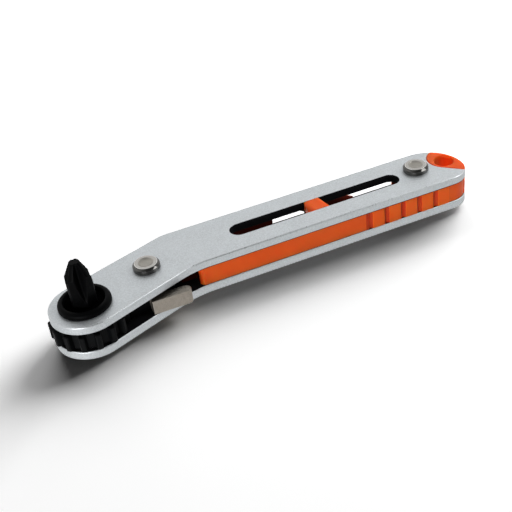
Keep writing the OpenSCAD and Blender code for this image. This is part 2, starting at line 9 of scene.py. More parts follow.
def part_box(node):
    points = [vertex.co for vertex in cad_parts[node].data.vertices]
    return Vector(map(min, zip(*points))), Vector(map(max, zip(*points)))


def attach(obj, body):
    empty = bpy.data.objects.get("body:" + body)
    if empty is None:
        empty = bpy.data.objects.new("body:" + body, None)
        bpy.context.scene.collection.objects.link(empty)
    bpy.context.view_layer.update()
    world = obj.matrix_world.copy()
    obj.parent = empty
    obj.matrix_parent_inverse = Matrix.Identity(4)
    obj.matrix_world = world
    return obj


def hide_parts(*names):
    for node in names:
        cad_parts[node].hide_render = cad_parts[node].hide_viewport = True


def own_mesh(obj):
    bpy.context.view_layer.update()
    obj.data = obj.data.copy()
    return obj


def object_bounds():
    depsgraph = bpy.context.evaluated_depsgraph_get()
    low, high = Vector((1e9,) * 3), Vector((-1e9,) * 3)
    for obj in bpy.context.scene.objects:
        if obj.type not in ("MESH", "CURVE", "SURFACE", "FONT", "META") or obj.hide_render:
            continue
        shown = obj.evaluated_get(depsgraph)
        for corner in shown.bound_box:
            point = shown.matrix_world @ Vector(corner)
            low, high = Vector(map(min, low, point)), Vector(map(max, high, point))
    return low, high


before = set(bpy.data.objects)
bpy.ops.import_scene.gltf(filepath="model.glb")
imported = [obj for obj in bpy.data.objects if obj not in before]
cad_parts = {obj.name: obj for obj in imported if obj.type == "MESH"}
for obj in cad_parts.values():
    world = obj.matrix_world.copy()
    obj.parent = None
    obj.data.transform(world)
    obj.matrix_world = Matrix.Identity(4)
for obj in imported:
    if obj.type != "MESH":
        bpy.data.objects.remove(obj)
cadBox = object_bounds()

mm = 0.001
scene = bpy.context.scene
scene.view_settings.view_transform = "Standard"
print("frame loaded,", len(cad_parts), "nodes")


# camera, in the frame of the part

photoCamera = dict(
    place=Vector((-17.913, -193.345, 152.606)) * mm,
    lookAlong=Vector((0.258, 0.776, -0.576)),
    pictureRight=Vector((0.915, -0.387, -0.111)),
    lens=66.195,
    sensor=36.0,
    near=0.01,
    far=20.0,
)


def makeCamera(look):
    data = bpy.data.cameras.new("photoCamera")
    data.lens = look["lens"]
    data.sensor_width = look["sensor"]
    data.clip_start = look["near"]
    data.clip_end = look["far"]
    camera = bpy.data.objects.new("photoCamera", data)
    back = -look["lookAlong"].normalized()
    right = look["pictureRight"]
    right = (right - back * right.dot(back)).normalized()
    turn = Matrix((right, back.cross(right), back)).transposed().to_4x4()
    turn.translation = look["place"]
    camera.matrix_world = turn
    scene.collection.objects.link(camera)
    scene.camera = camera


makeCamera(photoCamera)
print("camera placed")


# small helpers for node trees, shader and geometry alike


def plug(tree, socket, value):
    if isinstance(value, bpy.types.NodeSocket):
        tree.links.new(value, socket)
    else:
        socket.default_value = value


def addNode(tree, kind, inputs=None, **settings):
    node = tree.nodes.new(kind)
    for key, value in settings.items():
        setattr(node, key, value)
    for key, value in (inputs or {}).items():
        plug(tree, node.inputs[key], value)
    return node


def doMath(tree, operation, first, second=0.0):
    return addNode(tree, "ShaderNodeMath", {0: first, 1: second}, operation=operation).outputs[0]


def remap(tree, value, low, high, fromLow=0.0, fromHigh=1.0):
    inputs = {0: value, 1: fromLow, 2: fromHigh, 3: low, 4: high}
    return addNode(tree, "ShaderNodeMapRange", inputs).outputs[0]


def blendColours(tree, share, first, second):
    node = addNode(tree, "ShaderNodeMix", data_type="RGBA")
    plug(tree, node.inputs[0], share)
    plug(tree, node.inputs[6], first)
    plug(tree, node.inputs[7], second)
    return node.outputs[2]


def shade(colour, amount):
    return (colour[0] * amount, colour[1] * amount, colour[2] * amount, 1.0)


# finishes

# noise: detail and roughness of a pattern; span: the part of its range that is used
grainRules = dict(
    cloudNoise=(3.0, 0.5), grainNoise=(2.0, 0.6),
    cloudSpan=(0.3, 0.7), spotSpan=(0.35, 0.7), wearAndGlintSpan=(0.35, 0.6), roughSpan=(0.3, 0.7),
    leastWearAndGlint=0.5, spotTone=1.12, glowReach=(1.0, 0.18, 0.05),
)


def newFinish(name, metallic, specular):
    material = bpy.data.materials.new(name)
    material.use_nodes = True
    shader = material.node_tree.nodes["Principled BSDF"]
    shader.inputs["Metallic"].default_value = metallic
    shader.inputs["Specular IOR Level"].default_value = specular
    return material, material.node_tree, shader


def objectPoints(tree):
    return addNode(tree, "ShaderNodeTexCoord").outputs["Object"]


def speckle(tree, points, size, detail, roughness):
    # size is the width of a typical spot, in metres
    inputs = {"Vector": points, "Scale": 1.0 / size, "Detail": detail, "Roughness": roughness}
    return addNode(tree, "ShaderNodeTexNoise", inputs).outputs[0]


def addBump(tree, shader, height, depth):
    bump = addNode(tree, "ShaderNodeBump", {"Height": height, "Distance": depth, "Strength": 1.0})
    tree.links.new(bump.outputs[0], shader.inputs["Normal"])


def edgeMask(tree):
    # 1 on the bevelled faces of a piece, and on the ring at a rivet's rim edge, which gets a painted
    # highlight
    return addNode(tree, "ShaderNodeAttribute", attribute_name="edgeWearAndGlint").outputs["Fac"]


def paintedShadeInHeadShare(tree, zone):
    # painted shade: 1 where the pawl lies inside the head, in shade, 0 on its thumb ears
    ends = {0: objectPoints(tree), 1: zone["pivot"]}
    fromPivot = addNode(tree, "ShaderNodeVectorMath", ends, operation="SUBTRACT")
    turn = (0.0, 0.0, -math.radians(zone["turn"]))
    own = addNode(tree, "ShaderNodeMapping", {"Vector": fromPivot.outputs[0], "Rotation": turn})
    place = addNode(tree, "ShaderNodeSeparateXYZ", {0: own.outputs[0]}).outputs
    soft = zone["soft"]
    aside = doMath(tree, "ABSOLUTE", place[1])
    cosine = math.cos(math.radians(zone["flare"]))
    sine = math.sin(math.radians(zone["flare"]))
    along = doMath(
        tree, "ADD", doMath(tree, "MULTIPLY", place[0], cosine), doMath(tree, "MULTIPLY", aside, sine))
    out = doMath(
        tree, "SUBTRACT", doMath(tree, "MULTIPLY", aside, cosine), doMath(tree, "MULTIPLY", place[0], sine))
    inside = remap(tree, out, 1.0, 0.0, zone["earInside"] - soft, zone["earInside"] + soft)
    ahead = remap(tree, along, 1.0, 0.0, zone["earFront"] - soft, zone["earFront"] + soft)
    return doMath(tree, "MAXIMUM", inside, ahead)


def boxShare(tree, zone):
    # 1 inside a box of the part, given in mm, with soft faces
    place = addNode(tree, "ShaderNodeSeparateXYZ", {0: objectPoints(tree)}).outputs
    soft = zone["soft"]
    share = 1.0
    for along, (low, high) in zip(place, zone["span"]):
        above = remap(tree, along, 0.0, 1.0, low * mm - soft, low * mm + soft)
        below = remap(tree, along, 1.0, 0.0, high * mm - soft, high * mm + soft)
        share = doMath(tree, "MULTIPLY", share, doMath(tree, "MULTIPLY", above, below))
    return share


def grainyFinish(name, look):
    # a finish with cloudy tone, fine grain and edges that have been handled
    material, tree, shader = newFinish(name, look["metallic"], look["specular"])
    points = objectPoints(tree)
    cloud = speckle(tree, points, look["cloud"], *grainRules["cloudNoise"])
    grain = speckle(tree, points, look["grain"], *grainRules["grainNoise"])
    low, high = look["tones"]
    clouded = remap(tree, cloud, 0.0, 1.0, *grainRules["cloudSpan"])
    tone = blendColours(tree, clouded, shade(look["colour"], low), shade(look["colour"], high))
    spotted = remap(tree, grain, 0.0, look["spots"], *grainRules["spotSpan"])
    spotTone = high * look.get("spotTone", grainRules["spotTone"])
    spots = blendColours(tree, spotted, tone, shade(look["colour"], spotTone))
    # worn edges, and on the rivets a painted highlight ring at the rim edge
    edge = edgeMask(tree)
    leastWearAndGlint = look["wearAndGlint"] * grainRules["leastWearAndGlint"]
    wearAndGlint = remap(tree, cloud, leastWearAndGlint, look["wearAndGlint"], *grainRules["wearAndGlintSpan"])
    wornAndGlint = doMath(tree, "MULTIPLY", edge, wearAndGlint)
    colour = blendColours(tree, wornAndGlint, spots, shade(look["wornAndGlintColour"], 1.0))
    unshadedShare = 1.0
    # painted light and shade: each zone paints its tone into a box of the part
    for zone in look.get("paintedLightAndShade", ()):
        share = boxShare(tree, zone)
        colour = blendColours(tree, share, colour, shade(zone["tone"], 1.0))
        if zone["paintedShadeDull"]:
            unshadedShare = doMath(tree, "MULTIPLY", unshadedShare, doMath(tree, "SUBTRACT", 1.0, share))
    # the part of the pawl inside the head gets painted shade
    if "paintedShadeInHead" in look:
        shadedShare = paintedShadeInHeadShare(tree, look["paintedShadeInHead"])
        colour = blendColours(tree, shadedShare, colour, shade(look["paintedShadeTone"], 1.0))
    tree.links.new(colour, shader.inputs["Base Color"])
    rough = remap(tree, grain, *look["rough"], *grainRules["roughSpan"])
    if "edgeRough" in look:
        change = doMath(tree, "MULTIPLY", edge, look["edgeRough"] - look["rough"][0])
        rough = doMath(tree, "ADD", rough, change)
    tree.links.new(rough, shader.inputs["Roughness"])
    addBump(tree, shader, grain, look["bump"])
    if "paintedLightAndShade" in look:
        # sheen and glow are taken out where shade is painted
        plug(tree, shader.inputs["Specular IOR Level"], doMath(tree, "MULTIPLY", unshadedShare, look["specular"]))
        plug(tree, shader.inputs["Subsurface Weight"], doMath(tree, "MULTIPLY", unshadedShare, look["glow"]))
        shader.inputs["Subsurface Radius"].default_value = grainRules["glowReach"]
        shader.inputs["Subsurface Scale"].default_value = look["glowDepth"]
    return material


finishes = dict(
    blastedPlate=grainyFinish("blastedPlate", dict(
        colour=(0.5, 0.525, 0.54), tones=(0.95, 1.03), wornAndGlintColour=(0.56, 0.58, 0.59), wearAndGlint=0.4, spots=0.8,
        spotTone=1.3, metallic=0.8, specular=0.5, rough=(0.42, 0.56), edgeRough=0.26,
        cloud=5 * mm, grain=0.36 * mm, bump=0.02 * mm)),
    # painted shade: a near-black finish for the plates' slot walls, inner faces and inner rolled edges,
    # where shade falls
    paintedShadeInside=grainyFinish("paintedShadeInside", dict(
        colour=(0.006, 0.006, 0.007), tones=(0.7, 1.2), wornAndGlintColour=(0.02, 0.02, 0.02), wearAndGlint=0.5, spots=0.4,
        metallic=0.0, specular=0.05, rough=(0.5, 0.7), cloud=3 * mm, grain=0.2 * mm, bump=0.01 * mm)),
    orangeCore=grainyFinish("orangeCore", dict(
        colour=(0.85, 0.105, 0.009), tones=(0.95, 1.04), wornAndGlintColour=(0.9, 0.125, 0.014), wearAndGlint=0.7, spots=0.3,
        metallic=0.0, specular=0.2, rough=(0.38, 0.5), cloud=5 * mm, grain=0.12 * mm, bump=0.006 * mm,
        glow=0.7, glowDepth=5 * mm, paintedLightAndShade=(
            # painted shade in the grooves, painted light on the raised pads, and painted shade in the nose
            # recess and inside the bays, where sheen and glow are taken out too
            dict(span=((80.0, 106.0), (1.3, 2.4), (3.0, 11.0)),
                 soft=0.06 * mm, paintedShadeDull=False, tone=(0.6, 0.04, 0.002)),
            dict(span=((79.0, 111.0), (0.5, 1.36), (3.0, 11.0)),
                 soft=0.06 * mm, paintedShadeDull=False, tone=(1.0, 0.122, 0.008)),
            dict(span=((22.0, 33.0), (2.7, 18.1), (3.0, 11.0)),
                 soft=0.4 * mm, paintedShadeDull=True, tone=(0.03, 0.003, 0.001)),
            dict(span=((38.0, 101.0), (6.0, 18.6), (3.0, 9.2)),
                 soft=0.15 * mm, paintedShadeDull=True, tone=(0.05, 0.007, 0.004))))),
    blackWheel=grainyFinish("blackWheel", dict(
        colour=(0.0030, 0.0034, 0.0038), tones=(0.7, 1.3), wornAndGlintColour=(0.010, 0.011, 0.012),
        wearAndGlint=0.8, spots=0.5,
        metallic=0.0, specular=0.06, rough=(0.36, 0.52), cloud=2 * mm, grain=0.15 * mm, bump=0.01 * mm)),
    blackCollar=grainyFinish("blackCollar", dict(
        colour=(0.0016, 0.0018, 0.002), tones=(0.8, 1.2), wornAndGlintColour=(0.006, 0.006, 0.007),
        wearAndGlint=0.5, spots=0.4,
        metallic=0.0, specular=0.035, rough=(0.4, 0.54), cloud=2 * mm, grain=0.12 * mm, bump=0.006 * mm)),
    # painted shade: a blacker copy of the wheel's finish, without sheen, for the hub ends that sit in the
    # collar mouths
    paintedShadeBlack=grainyFinish("paintedShadeBlack", dict(
        colour=(0.001, 0.001, 0.0012), tones=(0.8, 1.2), wornAndGlintColour=(0.004, 0.004, 0.005),
        wearAndGlint=0.5, spots=0.4,
        metallic=0.0, specular=0.0, rough=(0.5, 0.7), cloud=2 * mm, grain=0.12 * mm, bump=0.006 * mm)),
    blackBit=grainyFinish("blackBit", dict(
        colour=(0.0012, 0.0013, 0.0015), tones=(0.7, 1.3), wornAndGlintColour=(0.007, 0.007, 0.008),
        wearAndGlint=0.8, spots=0.5,
        metallic=0.0, specular=0.035, rough=(0.3, 0.44), cloud=1.5 * mm, grain=0.12 * mm, bump=0.006 * mm)),
    # rivet steel, with a near-white painted highlight on the ring at the rim edge
    rivetSteel=grainyFinish("rivetSteel", dict(
        colour=(0.42, 0.408, 0.385), tones=(0.92, 1.04), wornAndGlintColour=(0.9, 0.89, 0.87), wearAndGlint=1.0, spots=0.1,
        metallic=1.0, specular=0.5, rough=(0.12, 0.22), cloud=1.5 * mm, grain=0.1 * mm, bump=0.003 * mm)),
    # painted shade: a much darker copy of the rivet steel for the bevels and sides of the rivets
    rivetSidePaintedShade=grainyFinish("rivetSidePaintedShade", dict(
        colour=(0.1, 0.098, 0.094), tones=(0.8, 1.1), wornAndGlintColour=(0.3, 0.29, 0.28), wearAndGlint=0.4, spots=0.3,
        metallic=1.0, specular=0.5, rough=(0.07, 0.15), cloud=0.8 * mm, grain=0.12 * mm, bump=0.006 * mm)),
    rivetDish=grainyFinish("rivetDish", dict(
        colour=(0.33, 0.313, 0.282), tones=(0.84, 1.1), wornAndGlintColour=(0.5, 0.48, 0.45), wearAndGlint=0.4, spots=0.5,
        metallic=1.0, specular=0.5, rough=(0.34, 0.5), cloud=0.8 * mm, grain=0.14 * mm, bump=0.02 * mm)),
    pawlSteel=grainyFinish("pawlSteel", dict(
        colour=(0.29, 0.262, 0.226), tones=(0.86, 1.08), wornAndGlintColour=(0.4, 0.37, 0.33), wearAndGlint=0.6, spots=0.8,
        spotTone=1.25, metallic=1.0, specular=0.5, rough=(0.42, 0.58), cloud=1.2 * mm, grain=0.24 * mm,
        # painted shade, near black, on the part of the pawl inside the head
        bump=0.02 * mm, paintedShadeTone=(0.006, 0.006, 0.007), paintedShadeInHead=dict(
            pivot=Vector((18.418, 6.7036, 0.0)) * mm, turn=12.0, flare=13.25, earInside=7.8 * mm,
            earFront=-2.32 * mm, soft=0.08 * mm))),
    bearingBronze=grainyFinish("bearingBronze", dict(
        colour=(0.5, 0.31, 0.13), tones=(0.88, 1.08), wornAndGlintColour=(0.6, 0.4, 0.2), wearAndGlint=0.4, spots=0.5,
        metallic=1.0, specular=0.5, rough=(0.3, 0.45), cloud=1.5 * mm, grain=0.12 * mm, bump=0.006 * mm)),
    washerSteel=grainyFinish("washerSteel", dict(
        colour=(0.5, 0.5, 0.49), tones=(0.9, 1.06), wornAndGlintColour=(0.6, 0.6, 0.6), wearAndGlint=0.4, spots=0.4,
        metallic=1.0, specular=0.5, rough=(0.22, 0.36), cloud=1.5 * mm, grain=0.1 * mm, bump=0.004 * mm)),
    drawnWire=grainyFinish("drawnWire", dict(
        colour=(0.3, 0.3, 0.3), tones=(0.85, 1.1), wornAndGlintColour=(0.5, 0.5, 0.5), wearAndGlint=0.4, spots=0.5,
        metallic=1.0, specular=0.5, rough=(0.2, 0.34), cloud=0.8 * mm, grain=0.08 * mm, bump=0.003 * mm)),
)
print("finishes made,", len(finishes))


# meshes

# points closer than a weld are joined, and faces within flatAngle degrees become one
meshRules = dict(cadWeld=0.002 * mm, madeWeld=0.001 * mm, flatAngle=1.0, normalWeight=90)


def cadMesh(node):
    # a merged copy of a CAD node's triangles
    shape = bmesh.new()
    shape.from_mesh(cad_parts[node].data)
    bmesh.ops.remove_doubles(shape, verts=shape.verts, dist=meshRules["cadWeld"])
    return shape


def linkMesh(name, shape, materials):
    mesh = bpy.data.meshes.new(name)
    shape.to_mesh(mesh)
    shape.free()
    piece = bpy.data.objects.new(name, mesh)
    scene.collection.objects.link(piece)
    for finish in materials:
        mesh.materials.append(finishes[finish])
    return piece


def repaint(mesh, *names):
    # these finishes and no others, in this order
    mesh.materials.clear()
    for name in names:
        mesh.materials.append(finishes[name])


def applyModifiers(piece):
    graph = bpy.context.evaluated_depsgraph_get()
    mesh = bpy.data.meshes.new_from_object(
        piece.evaluated_get(graph), preserve_all_data_layers=True, depsgraph=graph)
    piece.modifiers.clear()
    piece.data = mesh
    mesh.name = piece.name


def smoothShade(piece, sharpAngle):
    mesh = piece.data
    for face in mesh.polygons:
        face.use_smooth = True
    mesh.set_sharp_from_angle(angle=math.radians(sharpAngle))
    weighted = piece.modifiers.new("weighted", "WEIGHTED_NORMAL")
    weighted.keep_sharp = True
    weighted.weight = meshRules["normalWeight"]
    applyModifiers(piece)


def seat(piece, body, slot, *nodes):
    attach(piece, body)
    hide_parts(*nodes)


def bevelledCopy(name, node, look, finish):
    # the CAD shape with its edges eased; the eased faces are marked in edgeWearAndGlint
    shape = cadMesh(node)
    flat = math.radians(meshRules["flatAngle"])
    bmesh.ops.dissolve_limit(shape, angle_limit=flat, verts=shape.verts, edges=shape.edges)
    piece = linkMesh(name, shape, [finish, finish])
    bevel = piece.modifiers.new("eased", "BEVEL")
    bevel.width = look["edge"]
    bevel.segments = look["steps"]
    bevel.limit_method = "ANGLE"
    bevel.angle_limit = math.radians(look["edgeAngle"])
    bevel.material = 1
    bevel.harden_normals = False
    applyModifiers(piece)
    mesh = piece.data
    marks = mesh.attributes.new("edgeWearAndGlint", "FLOAT", "FACE")
    for face in mesh.polygons:
        marks.data[face.index].value = float(face.material_index == 1)
        face.material_index = 0
    mesh.materials.pop(index=1)
    smoothShade(piece, look["sharp"])
    return piece


# plates: outlines come from the CAD caps, edges are rolled over all round

# paintedShadeSteps: how many steps of the inner rolled edge get painted shade
topPlateLook = dict(edge=0.36 * mm, slotEdge=0.1 * mm, steps=4, paintedShadeSteps=4, wearAndGlint=1.0, sharp=40)
bottomPlateLook = dict(edge=0.36 * mm, slotEdge=0.1 * mm, steps=4, paintedShadeSteps=1, wearAndGlint=0.25, sharp=40)
# a cap is at least this level and this near its height, and a wall is less level than upright;
# sharpestTurn keeps the corners of a drawn-in loop short
capRules = dict(level=0.99, slack=0.01 * mm, upright=0.5, sharpestTurn=-0.6)


def capLoops(shape, height):
    # loops round the top cap, with the metal on their left
    follow = {}
    for face in shape.faces:
        away = abs(face.calc_center_median().z - height)
        if face.normal.z < capRules["level"] or away > capRules["slack"]:
            continue
        for corner in face.loops:
            over = corner.link_loop_radial_next.face
            if abs(over.normal.z) < capRules["upright"]:
                follow[corner.vert] = corner.link_loop_next.vert
    loops = []
    while follow:
        start = next(iter(follow))
        loop = [start]
        point = follow.pop(start)
        while point is not start:
            loop.append(point)
            point = follow.pop(point)
        loops.append([vert.co.xy.copy() for vert in loop])
    return loops


def drawnIn(loop, depth):
    # the loop moved into the metal by depth
    moved = []
    for before, here, after in zip(loop[-1:] + loop[:-1], loop, loop[1:] + loop[:1]):
        first = (here - before).normalized()
        second = (after - here).normalized()
        sideA = Vector((-first.y, first.x))
        sideB = Vector((-second.y, second.x))
        turn = max(sideA.dot(sideB), capRules["sharpestTurn"])
        moved.append(here + (sideA + sideB) * (depth / (1.0 + turn)))
    return moved


def makePlate(name, node, inside, look):
    # inside is 0 where the upper face is the inner one, and 1 where the lower is
    shape = cadMesh(node)
    low, high = (corner.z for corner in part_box(node))
    loops = capLoops(shape, high)
    shape.free()
    spans = [max(p.x for p in loop) - min(p.x for p in loop) for loop in loops]
    slot = sorted(range(len(loops)), key=lambda i: spans[i])[-2]  # the longest loop but the rim
    wall = look["steps"]  # the upright level of faces, between the two rolled edges
    turns = [math.radians(90.0 * i / wall) for i in range(wall + 1)]
    plate = bmesh.new()
    marks = plate.faces.layers.float.new("edgeWearAndGlint")
    caps = [[], []]
    for number, loop in enumerate(loops):
        edge = look["slotEdge"] if number == slot else look["edge"]
        profile = [(edge * (1 - math.sin(t)), high - edge * (1 - math.cos(t))) for t in turns]
        profile += [(edge * (1 - math.cos(t)), low + edge * (1 - math.sin(t))) for t in turns]
        rings = [[plate.verts.new((p.x, p.y, z)) for p in drawnIn(loop, depth)] for depth, z in profile]
        caps[0].append(rings[0])
        caps[1].append(rings[-1])
        for level in range(len(rings) - 1):
            for i in range(len(loop)):
                j = (i + 1) % len(loop)
                upper, lower = rings[level], rings[level + 1]
                face = plate.faces.new((upper[i], lower[i], lower[j], upper[j]))
                face[marks] = look["wearAndGlint"] * float(level != wall)
                fromInside = len(rings) - 2 - level if inside else level
                inSlot = number == slot and fromInside <= wall
                # the slot walls and the first steps of the inner rolled edge get painted shade
                face.material_index = int(inSlot or fromInside < look["paintedShadeSteps"])
    for side, cap in enumerate(caps):
        verts = [vert for ring in cap for vert in ring]
        for triple in tessellate_polygon([[vert.co for vert in ring] for ring in cap]):
            face = plate.faces.new([verts[i] for i in triple])
            # the inner face gets painted shade
            face.material_index = int(side == inside)
    bmesh.ops.recalc_face_normals(plate, faces=plate.faces)
    piece = linkMesh(name, plate, ["blastedPlate", "paintedShadeInside"])
    smoothShade(piece, look["sharp"])
    piece.visible_diffuse = False  # its lit sides would light up the floor in the shadow
    seat(piece, "frame", "plate", node)
    return piece


topPlate = makePlate("topPlate", "top_plate", 1, topPlateLook)
bottomPlate = makePlate("bottomPlate", "bottom_plate", 0, bottomPlateLook)
print("plates made")


# orange core, pawl and bit: the CAD shapes with eased edges

coreLook = dict(edge=0.16 * mm, steps=3, edgeAngle=35, sharp=40)
pawlLook = dict(edge=0.22 * mm, steps=3, edgeAngle=35, sharp=40)
bitLook = dict(edge=0.07 * mm, steps=2, edgeAngle=24, sharp=32)

core = bevelledCopy("orangeCore", "handle_core", coreLook, "orangeCore")
core.visible_diffuse = False  # keeps its colour off the floor
seat(core, "frame", "core", "handle_core")
pawl = bevelledCopy("thumbPawl", "reversing_pawl", pawlLook, "pawlSteel")
seat(pawl, "pawl", "pawl_steel", "reversing_pawl")
bit = bevelledCopy("crossBit", "screwdriver_bit", bitLook, "blackBit")
seat(bit, "bit", "black_bit", "screwdriver_bit")
print("core, pawl and bit made")


# geometry node trees

socketKinds = dict(
    size="NodeSocketFloat", count="NodeSocketInt", place="NodeSocketVector", finish="NodeSocketMaterial")
turnedColumns = 96


def newTree(name, inputs):
    tree = bpy.data.node_groups.new(name, "GeometryNodeTree")
    for label, kind in inputs:
        tree.interface.new_socket(label, in_out="INPUT", socket_type=socketKinds[kind])
    tree.interface.new_socket("Geometry", in_out="OUTPUT", socket_type="NodeSocketGeometry")
    return tree, addNode(tree, "NodeGroupInput").outputs


def pick(tree, index, values, kind="FLOAT"):
    node = addNode(tree, "GeometryNodeIndexSwitch", data_type=kind)
    while len(node.index_switch_items) < len(values):
        node.index_switch_items.new()
    plug(tree, node.inputs[0], index)
    for i, value in enumerate(values):
        plug(tree, node.inputs[i + 1], value)
    return node.outputs[0]


def closeTree(tree, geometry, finish):
    real = addNode(tree, "GeometryNodeRealizeInstances", {0: geometry})
    painted = addNode(tree, "GeometryNodeSetMaterial", {"Geometry": real.outputs[0], "Material": finish})
    addNode(tree, "NodeGroupOutput", {0: painted.outputs[0]})


def runTree(name, tree, values, sharpAngle):
    piece = bpy.data.objects.new(name, bpy.data.meshes.new(name))
    scene.collection.objects.link(piece)
    modifier = piece.modifiers.new("nodes", "NODES")
    modifier.node_group = tree
    for item in tree.interface.items_tree:
        if item.in_out == "INPUT":
            modifier[item.identifier] = values[item.name]
    applyModifiers(piece)
    shape = bmesh.new()
    shape.from_mesh(piece.data)
    bmesh.ops.remove_doubles(shape, verts=shape.verts, dist=meshRules["madeWeld"])
    bmesh.ops.recalc_face_normals(shape, faces=shape.faces)
    shape.to_mesh(piece.data)
    shape.free()
    smoothShade(piece, sharpAngle)
    return piece


def sheetOfRings(tree, rings, columns):
    # a grid whose rows become rings and whose columns go round; gives ring and column numbers
    across = doMath(tree, "ADD", columns, 1.0)
    size = {"Size X": 1.0, "Size Y": 1.0, "Vertices X": rings, "Vertices Y": across}
    grid = addNode(tree, "GeometryNodeMeshGrid", size)
    position = addNode(tree, "GeometryNodeInputPosition").outputs[0]
    spot = addNode(tree, "ShaderNodeSeparateXYZ", {0: position})
    along = doMath(tree, "MULTIPLY", doMath(tree, "ADD", spot.outputs[0], 0.5), rings - 1.0)
    column = doMath(tree, "MULTIPLY", doMath(tree, "ADD", spot.outputs[1], 0.5), columns)
    return grid.outputs[0], doMath(tree, "ROUND", along), doMath(tree, "ROUND", column)


def placeRings(tree, mesh, radius, angle, height):
    x = doMath(tree, "MULTIPLY", radius, doMath(tree, "COSINE", angle))
    y = doMath(tree, "MULTIPLY", radius, doMath(tree, "SINE", angle))
    spot = addNode(tree, "ShaderNodeCombineXYZ", {0: x, 1: y, 2: height})
    moved = addNode(tree, "GeometryNodeSetPosition", {"Geometry": mesh, "Position": spot.outputs[0]})
    joining = {"Geometry": moved.outputs[0], "Distance": meshRules["madeWeld"]}
    return addNode(tree, "GeometryNodeMergeByDistance", joining).outputs[0]


def turnedTree(name, rings, places):
    # turns a profile round and sets the result at each place
    inputs = [("Columns", "count"), ("Finish", "finish")]
    inputs += [("Radius %d" % i, "size") for i in range(rings)]
    inputs += [("Height %d" % i, "size") for i in range(rings)]
    inputs += [("Place %d" % i, "place") for i in range(places)]
    tree, given = newTree(name, inputs)
    mesh, ring, column = sheetOfRings(tree, rings, given["Columns"])
    angle = doMath(tree, "MULTIPLY", doMath(tree, "DIVIDE", column, given["Columns"]), math.tau)
    radius = pick(tree, ring, [given["Radius %d" % i] for i in range(rings)])
    height = pick(tree, ring, [given["Height %d" % i] for i in range(rings)])
    turned = placeRings(tree, mesh, radius, angle, height)
    spots = given["Place 0"]
    if places > 1:
        number = addNode(tree, "GeometryNodeInputIndex").outputs[0]
        spots = pick(tree, number, [given["Place %d" % i] for i in range(places)], "VECTOR")
    points = addNode(tree, "GeometryNodePoints", {"Count": places, "Position": spots})
    copies = addNode(tree, "GeometryNodeInstanceOnPoints", {"Points": points.outputs[0], "Instance": turned})
    closeTree(tree, copies.outputs[0], given["Finish"])
    return tree


def makeTurned(name, profile, places, finish, sharpAngle):
    values = {"Columns": turnedColumns, "Finish": finishes[finish]}
    for i, (radius, height) in enumerate(profile):
        values["Radius %d" % i] = radius
        values["Height %d" % i] = height
    for i, place in enumerate(places):
        values["Place %d" % i] = place
    return runTree(name, turnedTree(name, len(profile), len(places)), values, sharpAngle)


def bend(centre, radius, start, end, steps):
    # points on an arc of a profile, angles in degrees
    turns = [math.radians(start + (end - start) * i / steps) for i in range(steps + 1)]
    return [(centre[0] + radius * math.cos(t), centre[1] + radius * math.sin(t)) for t in turns]


# rivets: two turned spools, each with a bevelled, dished head at both ends

rivetLook = dict(bevel=0.65 * mm, rim=0.9 * mm, dish=0.45 * mm, shank=1.75 * mm, soft=0.08 * mm, sharp=30)


def makeRivets(look):
    low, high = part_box("front_rivet")
    radius = (high.x - low.x) / 2
    middle = (high.z + low.z) / 2
    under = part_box("top_plate")[1].z - middle
    top = high.z - middle
    rimOut = radius - look["bevel"]
    rimIn = rimOut - look["rim"]
    soft = look["soft"]
    half = [
        (look["shank"], under), (radius - soft, under), (radius, under + soft),
        (radius, top - look["bevel"] - soft), (radius - soft * 0.4, top - look["bevel"] + soft * 0.5),
        (rimOut + soft * 0.6, top - soft * 0.5), (rimOut - soft * 0.6, top), (rimIn + soft, top),
        (rimIn - soft * 0.4, top - soft * 0.8), (rimIn * 0.78, top - look["dish"] * 0.8),
        (rimIn * 0.5, top - look["dish"] * 0.97), (0.0, top - look["dish"]),
    ]
    profile = [(r, -z) for r, z in reversed(half)] + half
    places = []
    for node in ("front_rivet", "rear_rivet"):
        low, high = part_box(node)
        places.append(((low.x + high.x) / 2, (low.y + high.y) / 2, middle))
    rivets = makeTurned("rivets", profile, places, "rivetSteel", look["sharp"])
    mesh = rivets.data
    repaint(mesh, "rivetSteel", "rivetDish", "rivetSidePaintedShade")
    marks = mesh.attributes.new("edgeWearAndGlint", "FLOAT", "FACE")
    for face in mesh.polygons:
        reach = min((face.center.xy - Vector(place[:2])).length for place in places)
        slot = 0
        if reach < rimIn and abs(face.center.z - middle) > under:
            slot = 1
        # the bevel and side get the darker painted-shade copy of the steel
        elif reach > rimOut + soft:
            slot = 2
        face.material_index = slot
        # the ring at the rim's outer edge is marked for a painted highlight
        marks.data[face.index].value = float(abs(reach - rimOut) < soft)
    seat(rivets, "frame", "bright_steel", "front_rivet", "rear_rivet")
    return rivets


rivets = makeRivets(rivetLook)


# collars: rings with a rolled outer edge and a mouth that slopes to the hub

collarLook = dict(
    round=1.0 * mm, roundSteps=10, lip=5.5 * mm, hub=5.2 * mm, mouth=0.8 * mm, soft=0.12 * mm, sharp=35)


def makeCollar(name, node, side, look):
    low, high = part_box(node)
    radius = (high.x - low.x) / 2
    foot, top = (low.z, high.z) if side > 0 else (-high.z, -low.z)
    soft = look["soft"]
    centre = (radius - look["round"], top - look["round"])
    profile = [(look["hub"], foot), (radius - soft, foot), (radius, foot + soft)]
    profile += bend(centre, look["round"], 0, 90, look["roundSteps"])
    profile += [(look["lip"] + soft, top), (look["lip"], top - soft * 0.4)]
    profile += [(look["hub"], top - look["mouth"]), (look["hub"], foot)]
    profile = [(r, z * side) for r, z in profile]
    collar = makeTurned(name, profile, [(0.0, 0.0, 0.0)], "blackCollar", look["sharp"])
    seat(collar, "wheel", "black_collar", node)


makeCollar("topCollar", "top_collar", 1, collarLook)
makeCollar("bottomCollar", "bottom_collar", -1, collarLook)
print("rivets and collars made")


